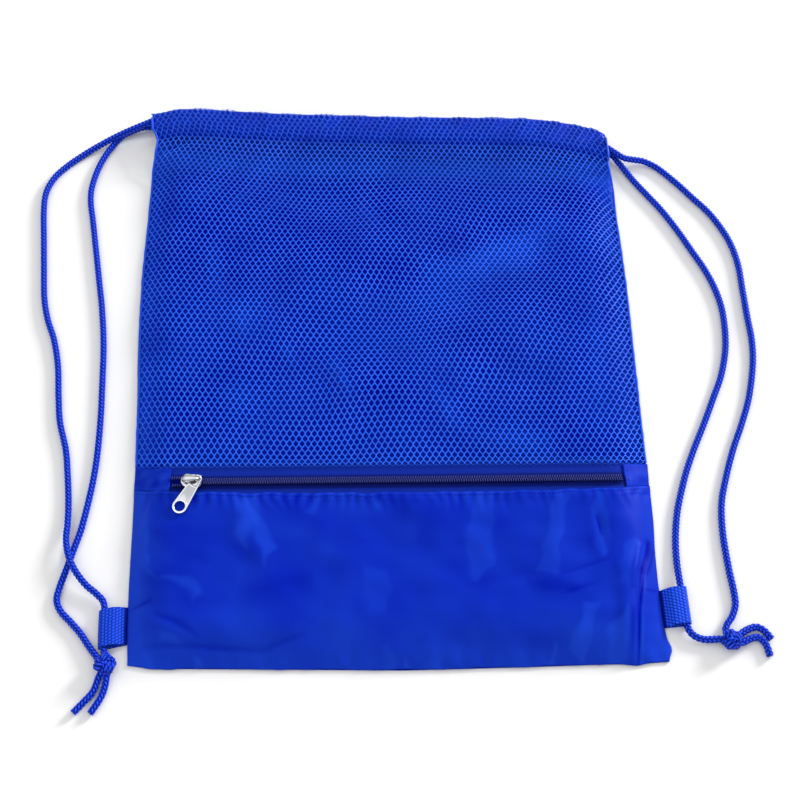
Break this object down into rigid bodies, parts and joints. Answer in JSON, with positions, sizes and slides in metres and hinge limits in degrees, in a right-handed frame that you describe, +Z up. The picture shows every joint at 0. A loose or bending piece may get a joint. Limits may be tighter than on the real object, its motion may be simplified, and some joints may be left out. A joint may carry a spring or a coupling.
{
  "type": "drawstring bag",
  "caption": "Flat drawstring bag with a polyester back, a net upper front, a zip above a polyester lower front, and cords that run through a top casing to webbing side loops.",
  "frame": {"origin": "on the floor, under the middle of the bag with its loops and without its cords", "axes": "+Z up from the back of the bag to its front, +Y from the bottom seam towards the mouth, +X to the right of someone who looks at the front"},
  "size_m": [0.4978, 0.455, 0.0206],
  "materials": {
    "polyester": "shiny woven polyester taffeta",
    "net": "knitted polyester net",
    "zip_tape": "woven polyester tape",
    "nylon_coil": "dyed nylon coil",
    "nickel": "nickel-plated cast metal",
    "webbing": "ribbed polypropylene webbing",
    "braid": "round braided polyester cord"
  },
  "bodies": {
    "bag": {"back_panel": "polyester", "mesh_panel": "net", "lower_panel": "polyester", "zip_end_left": "polyester", "zip_end_right": "polyester", "zip_tape_upper": "zip_tape", "zip_tape_lower": "zip_tape", "zip_coil_upper": "nylon_coil", "zip_coil_lower": "nylon_coil", "zip_slider": "nickel", "tab_left": "webbing", "tab_right": "webbing", "cord_left_casing": "braid", "cord_right_casing": "braid", "cord_left_outer": "braid", "cord_left_inner": "braid", "cord_right_outer": "braid", "cord_right_inner": "braid", "knot_left": "braid", "knot_right": "braid", "cord_left_tail_a": "braid", "cord_left_tail_b": "braid", "cord_right_tail_a": "braid", "cord_right_tail_b": "braid"},
    "pull": {"zip_pull": "nickel"}
  },
  "joints": [
    {"name": "pull_swivel", "type": "hinge", "parent": "bag", "child": "pull", "pos_m": [-0.1278, -0.08975, 0.01825], "axis": [-0.0635, -0.11, 0.9919], "range_deg": [0, 115]}
  ]
}
